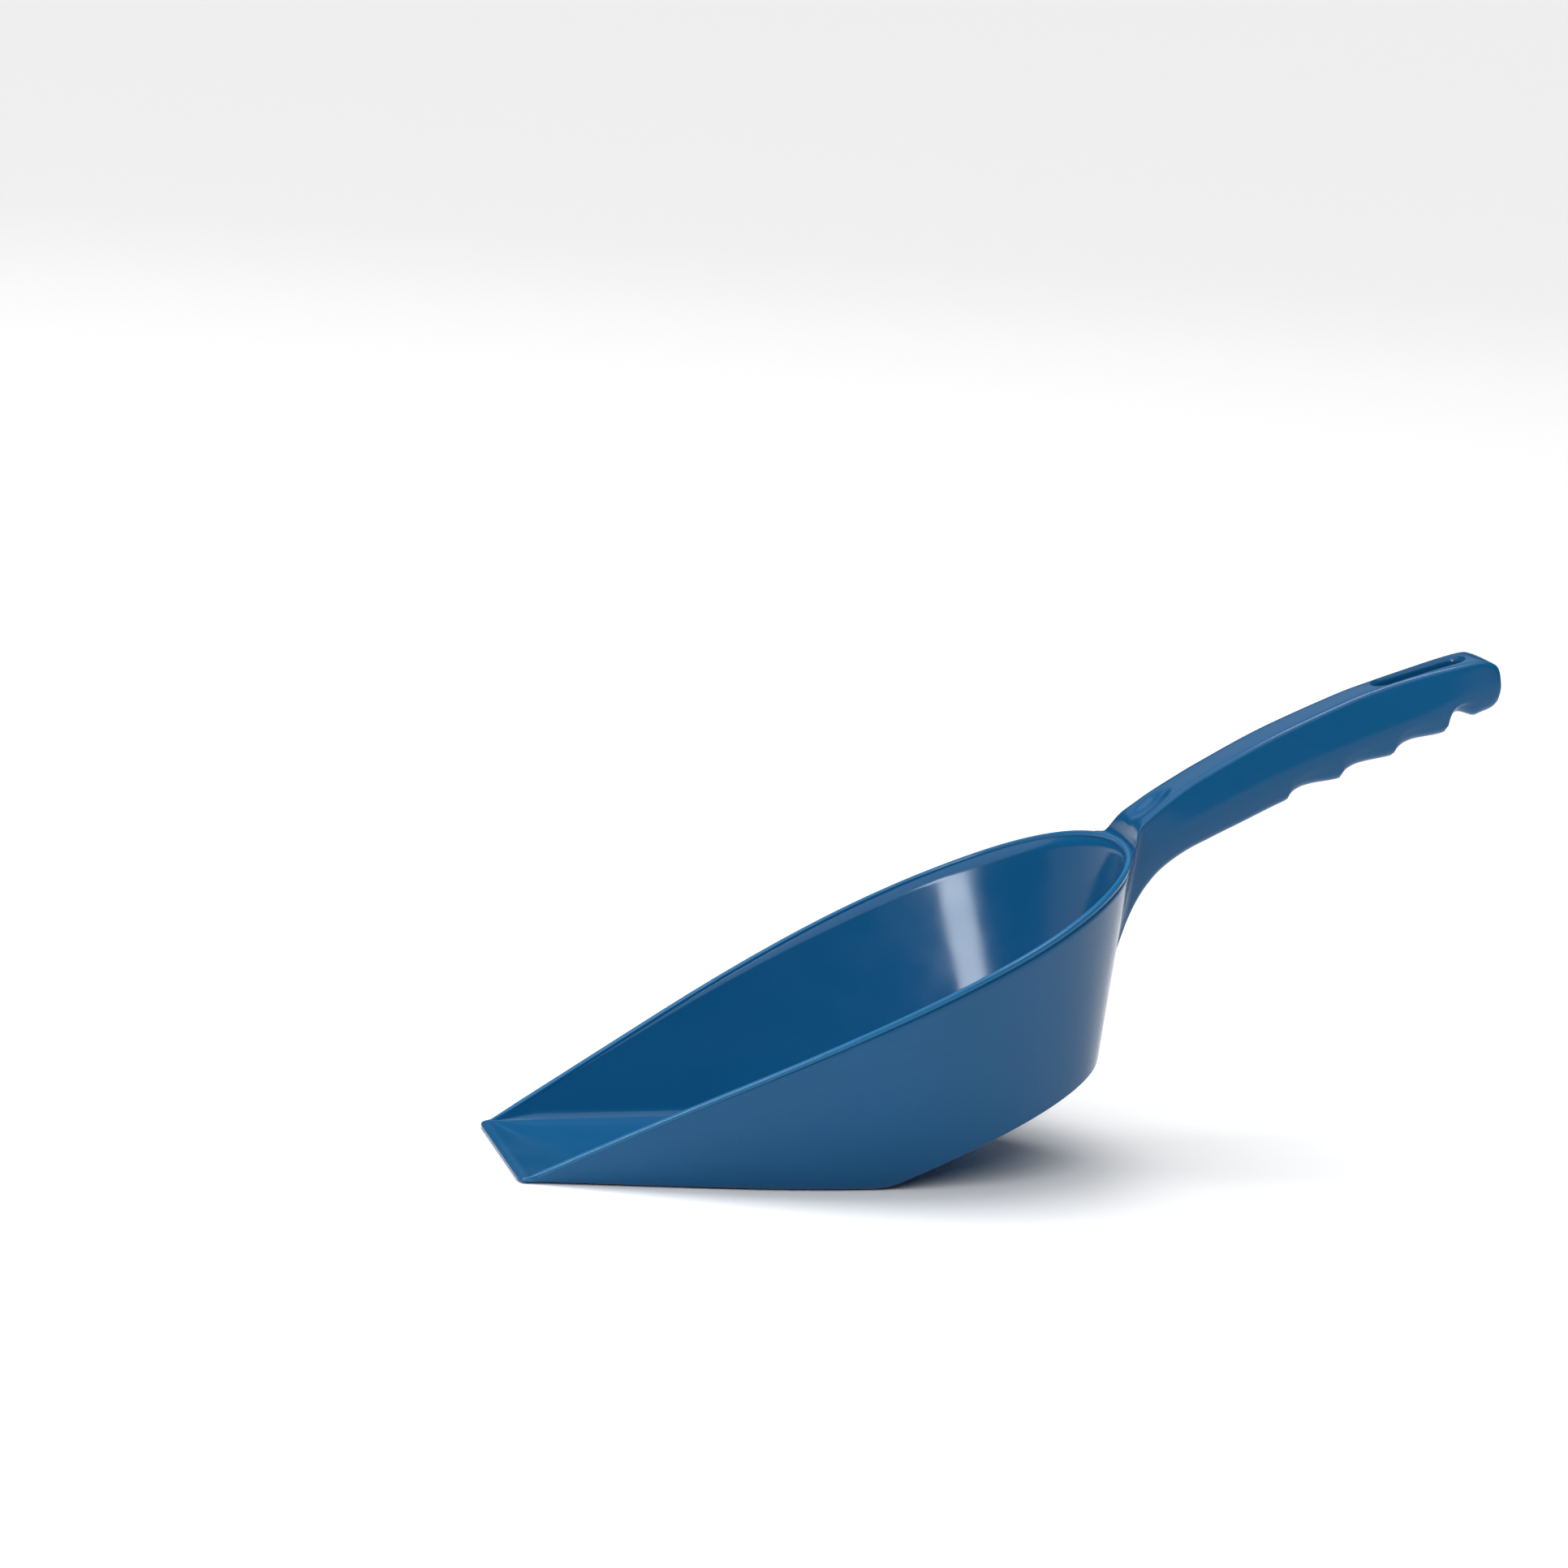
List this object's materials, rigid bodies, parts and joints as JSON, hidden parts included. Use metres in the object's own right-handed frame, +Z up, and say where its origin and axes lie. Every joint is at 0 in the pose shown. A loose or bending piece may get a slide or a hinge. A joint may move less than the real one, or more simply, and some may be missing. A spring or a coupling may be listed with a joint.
{
  "type": "feed scoop",
  "caption": "One-hand plastic feed scoop: drafted open bowl with a flat base and sloping rear panel, beaded rim, and an arched grip with finger grooves and a hanging slot.",
  "frame": {"origin": "middle of the bounding box on the plane of the flat base", "axes": "-X towards the pouring lip, +X towards the grip's end, +Z up out of the bowl, Y across the bowl"},
  "size_m": [0.3299, 0.124, 0.175],
  "materials": {
    "bowl_plastic": "glossy moulded blue, lightly scuffed",
    "rim_plastic": "glossy moulded blue, worn slightly lighter",
    "grip_plastic": "glossy moulded blue, softened by handling"
  },
  "bodies": {
    "root": {"base_panel": "bowl_plastic", "ramp_panel": "bowl_plastic", "left_wall": "bowl_plastic", "right_wall": "bowl_plastic", "back_wall": "bowl_plastic", "rim_left": "rim_plastic", "rim_right": "rim_plastic", "rim_back": "rim_plastic", "neck_gusset": "grip_plastic", "grip_bar": "grip_plastic", "hanging_eye": "grip_plastic"}
  },
  "joints": []
}
